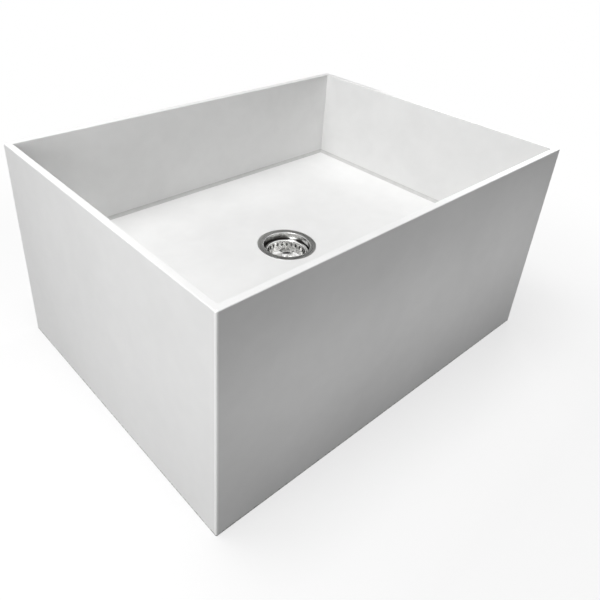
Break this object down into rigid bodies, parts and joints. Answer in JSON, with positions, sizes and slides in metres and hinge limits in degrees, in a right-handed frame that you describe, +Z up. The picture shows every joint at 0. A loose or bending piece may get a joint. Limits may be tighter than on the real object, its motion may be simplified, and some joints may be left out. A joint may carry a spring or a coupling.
{
  "type": "pet wash tub",
  "caption": "Free-standing white box tub with mitred sheet walls, an open rectangular basin, a hidden service space below and a lift-out basket strainer in the basin floor.",
  "frame": {"origin": "on the ground, under the middle of the tub and of its drain", "axes": "+X along the tub's length, +Y from front to rear, +Z up"},
  "size_m": [0.8, 0.6, 0.4],
  "materials": {
    "white_sheet": "satin",
    "sawn_sheet": "matte",
    "pressed_steel": "brushed",
    "polished_steel": "polished",
    "fastener_steel": "satin",
    "nut_brass": "satin",
    "grey_plastic": "matte",
    "black_rubber": "matte"
  },
  "bodies": {
    "tub": {"front_panel": "white_sheet", "rear_panel": "white_sheet", "left_panel": "white_sheet", "right_panel": "white_sheet", "basin_floor": "white_sheet", "front_ledger": "sawn_sheet", "rear_ledger": "sawn_sheet", "left_ledger": "sawn_sheet", "right_ledger": "sawn_sheet", "left_rib": "sawn_sheet", "right_rib": "sawn_sheet", "corner_block_front_left": "sawn_sheet", "corner_block_front_right": "sawn_sheet", "corner_block_rear_left": "sawn_sheet", "corner_block_rear_right": "sawn_sheet", "strainer_bowl": "pressed_steel", "flange_gasket": "black_rubber", "floor_gasket": "black_rubber", "waste_body": "grey_plastic", "reducer_seal": "black_rubber", "outlet_reducer": "grey_plastic", "clamp_screw": "fastener_steel", "clamp_nut": "nut_brass"},
    "basket": {"basket_dish": "polished_steel", "basket_band": "polished_steel", "basket_rim": "polished_steel", "stopper_seal": "black_rubber", "seal_washer": "fastener_steel", "basket_stem": "fastener_steel", "basket_knob": "polished_steel"}
  },
  "joints": [
    {"name": "basket_lift", "type": "slide", "parent": "tub", "child": "basket", "axis": [0, 0, 1], "range_m": [0, 0.27]}
  ]
}
